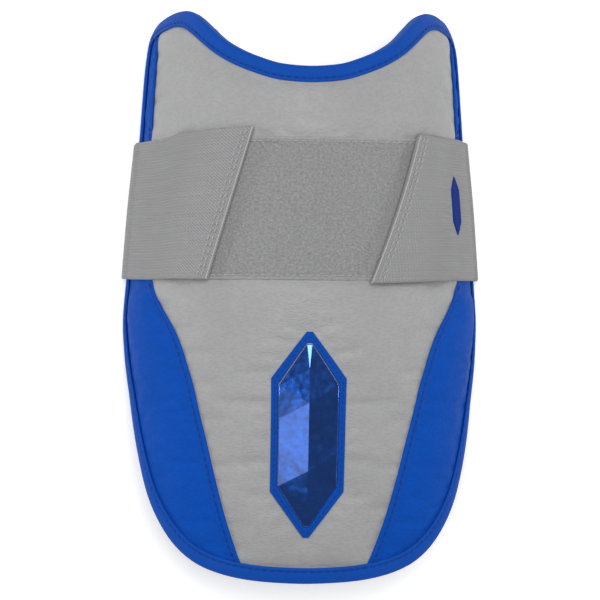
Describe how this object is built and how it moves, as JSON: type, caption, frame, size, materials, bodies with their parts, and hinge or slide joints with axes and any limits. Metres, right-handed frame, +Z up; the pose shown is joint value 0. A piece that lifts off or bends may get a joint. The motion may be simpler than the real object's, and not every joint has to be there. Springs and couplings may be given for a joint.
{
  "type": "baseball elbow guard",
  "caption": "Padded C-section elbow guard with a scooped neckline, an edge binding and an elastic strap that fastens across the front on a loop patch.",
  "frame": {"origin": "centre of the footprint on the surface that the guard lies on", "axes": "+X across the arm to the right of the front panel, +Y along the arm towards the neckline, +Z up out of the front panel"},
  "size_m": [0.1494, 0.235, 0.0743],
  "materials": {
    "lining": "plain knitted lining over foam",
    "grey_leather": "fine grained coated leather, satin",
    "blue_leather": "fine grained coated leather, satin",
    "blue_binding": "woven edge binding, matt",
    "grey_loop": "brushed loop fabric",
    "grey_hook": "hook tape",
    "grey_elastic": "ribbed woven elastic",
    "badge_border": "flat stitched border",
    "badge_metallic": "faceted metallic blue film",
    "navy_print": "pressed film, navy"
  },
  "bodies": {
    "root": {"pad_body": "lining", "front_panel": "grey_leather", "side_panel_right": "blue_leather", "side_panel_left": "blue_leather", "edge_binding": "blue_binding", "loop_patch": "grey_loop", "hook_pad_right": "grey_hook", "hook_pad_left": "grey_hook", "strap": "grey_elastic", "badge_rim": "badge_border", "badge_face": "badge_metallic", "strap_mark": "navy_print"}
  },
  "joints": []
}
